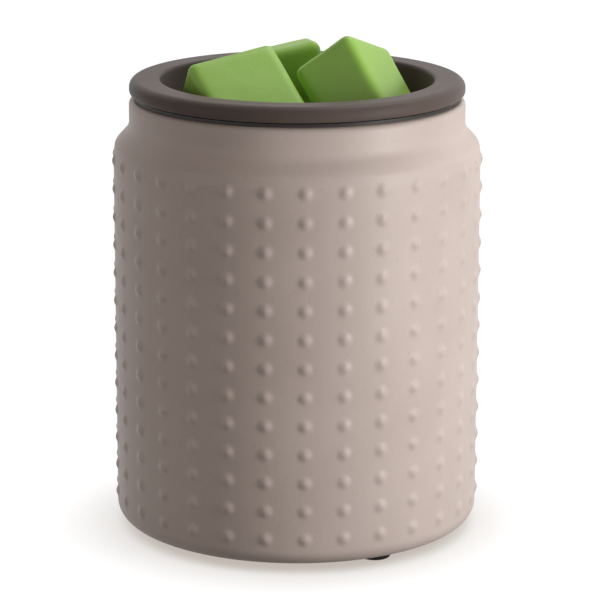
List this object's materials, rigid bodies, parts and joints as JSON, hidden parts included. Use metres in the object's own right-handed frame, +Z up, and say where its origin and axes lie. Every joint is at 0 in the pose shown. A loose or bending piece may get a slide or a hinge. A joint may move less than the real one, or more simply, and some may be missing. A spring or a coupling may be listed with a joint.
{
  "type": "wax melt warmer",
  "caption": "Dotted ceramic jar warmer with a hot plate, a lift-out soft dish holding loose wax melts, rubber feet and a rear cord grommet.",
  "frame": {"origin": "middle of the underside, on the table under the feet", "axes": "+Z up along the jar's axis, -Y to the front, +X to the right seen from the front, +Y to the cord grommet"},
  "size_m": [0.1046, 0.1046, 0.1407],
  "materials": {
    "ceramic": "matte",
    "silicone_dark": "matte",
    "wax": "satin",
    "black_plastic": "matte",
    "aluminium": "satin",
    "steel": "satin",
    "brass": "satin",
    "mica": "matte",
    "stone": "matte",
    "white_ceramic": "gloss",
    "fuse_metal": "satin",
    "sleeve": "matte",
    "black_rubber": "matte",
    "lead_brown": "satin",
    "lead_blue": "satin"
  },
  "bodies": {
    "warmer": {"ceramic_jar": "ceramic", "heater_cup": "black_plastic", "cup_seal": "silicone_dark", "hot_plate": "aluminium", "plate_screws": "steel", "upper_mica": "mica", "ptc_stone": "stone", "lower_mica": "mica", "live_electrode": "brass", "neutral_electrode": "brass", "clamp_bar": "steel", "clamp_screws": "steel", "thermal_fuse": "fuse_metal", "fuse_sleeve": "sleeve", "fuse_clip": "steel", "fuse_clip_screw": "steel", "upper_spacers": "steel", "lower_pillars": "steel", "heat_shield": "aluminium", "base_plate": "black_plastic", "base_gasket": "black_rubber", "base_screws": "steel", "rubber_feet": "black_rubber", "cord_grommet": "black_rubber", "cord_saddle": "black_plastic", "saddle_screws": "steel", "terminal_block": "white_ceramic", "terminal_screws": "brass", "block_screw": "steel", "live_lead": "lead_brown", "fuse_link": "lead_brown", "neutral_lead": "lead_blue", "crimps": "brass"},
    "dish": {"silicone_dish": "silicone_dark"},
    "melt_left": {"wax_melt_left": "wax"},
    "melt_middle": {"wax_melt_middle": "wax"},
    "melt_right": {"wax_melt_right": "wax"}
  },
  "joints": [
    {"name": "dish_lift", "type": "slide", "parent": "warmer", "child": "dish", "axis": [0, 0, 1], "range_m": [0, 0.06]},
    {"name": "melt_left_lift", "type": "slide", "parent": "dish", "child": "melt_left", "axis": [0, 0, 1], "range_m": [0, 0.05]},
    {"name": "melt_middle_lift", "type": "slide", "parent": "dish", "child": "melt_middle", "axis": [0, 0, 1], "range_m": [0, 0.05]},
    {"name": "melt_right_lift", "type": "slide", "parent": "dish", "child": "melt_right", "axis": [0, 0, 1], "range_m": [0, 0.05]}
  ]
}
